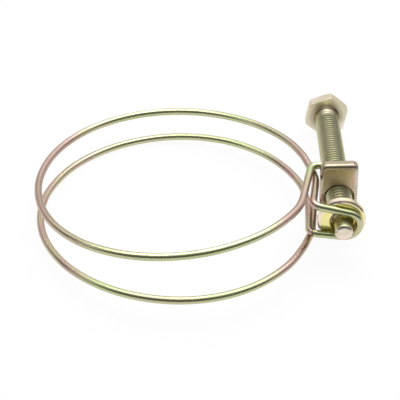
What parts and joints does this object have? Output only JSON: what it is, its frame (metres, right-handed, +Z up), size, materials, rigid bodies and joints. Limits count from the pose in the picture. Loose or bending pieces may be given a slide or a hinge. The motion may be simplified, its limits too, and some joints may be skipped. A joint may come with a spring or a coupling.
{
  "type": "wire hose clamp",
  "caption": "Double-wire hose clamp: a wire bent into rings, its bight pushed by a washer on the dog-point bolt that runs through the plate its hooks sit behind. Yellow-zinc steel.",
  "frame": {"origin": "the middle of the hose passage, halfway between the rings", "axes": "the clamp lies as it rests on a table, +Z up. The hose axis leans about 7 degrees from +Z. The bolt runs along +Y towards its head, level within 6 degrees, on the +X side. +X points from the hose passage to the closure."},
  "size_m": [0.0749, 0.0722, 0.0182],
  "materials": {
    "zinc_wire": "yellow chromated zinc, bright drawn wire",
    "zinc_bolt": "yellow chromated zinc with a pink cast on the head",
    "zinc_plate": "yellow chromated zinc, smooth pressed steel",
    "zinc_washer": "yellow chromated zinc, turned steel"
  },
  "bodies": {
    "clamp": {"wire": "zinc_wire", "thread_plate": "zinc_plate"},
    "washer": {"pressure_washer": "zinc_washer"},
    "bolt": {"bolt": "zinc_bolt"}
  },
  "joints": [
    {"name": "washer_slide", "type": "slide", "parent": "clamp", "child": "washer", "axis": [0.0036, 0.9957, -0.0928], "range_m": [0, 0.0072]},
    {"name": "bolt_spin", "type": "hinge", "parent": "washer", "child": "bolt", "pos_m": [0.03752, 0.00003, 0.00179], "axis": [0.0036, 0.9957, -0.0928], "range_deg": [0, 2628]}
  ],
  "couplings": [
    {"joint": "bolt_spin", "follows": "washer_slide", "rad_per_m": 6283.2}
  ]
}
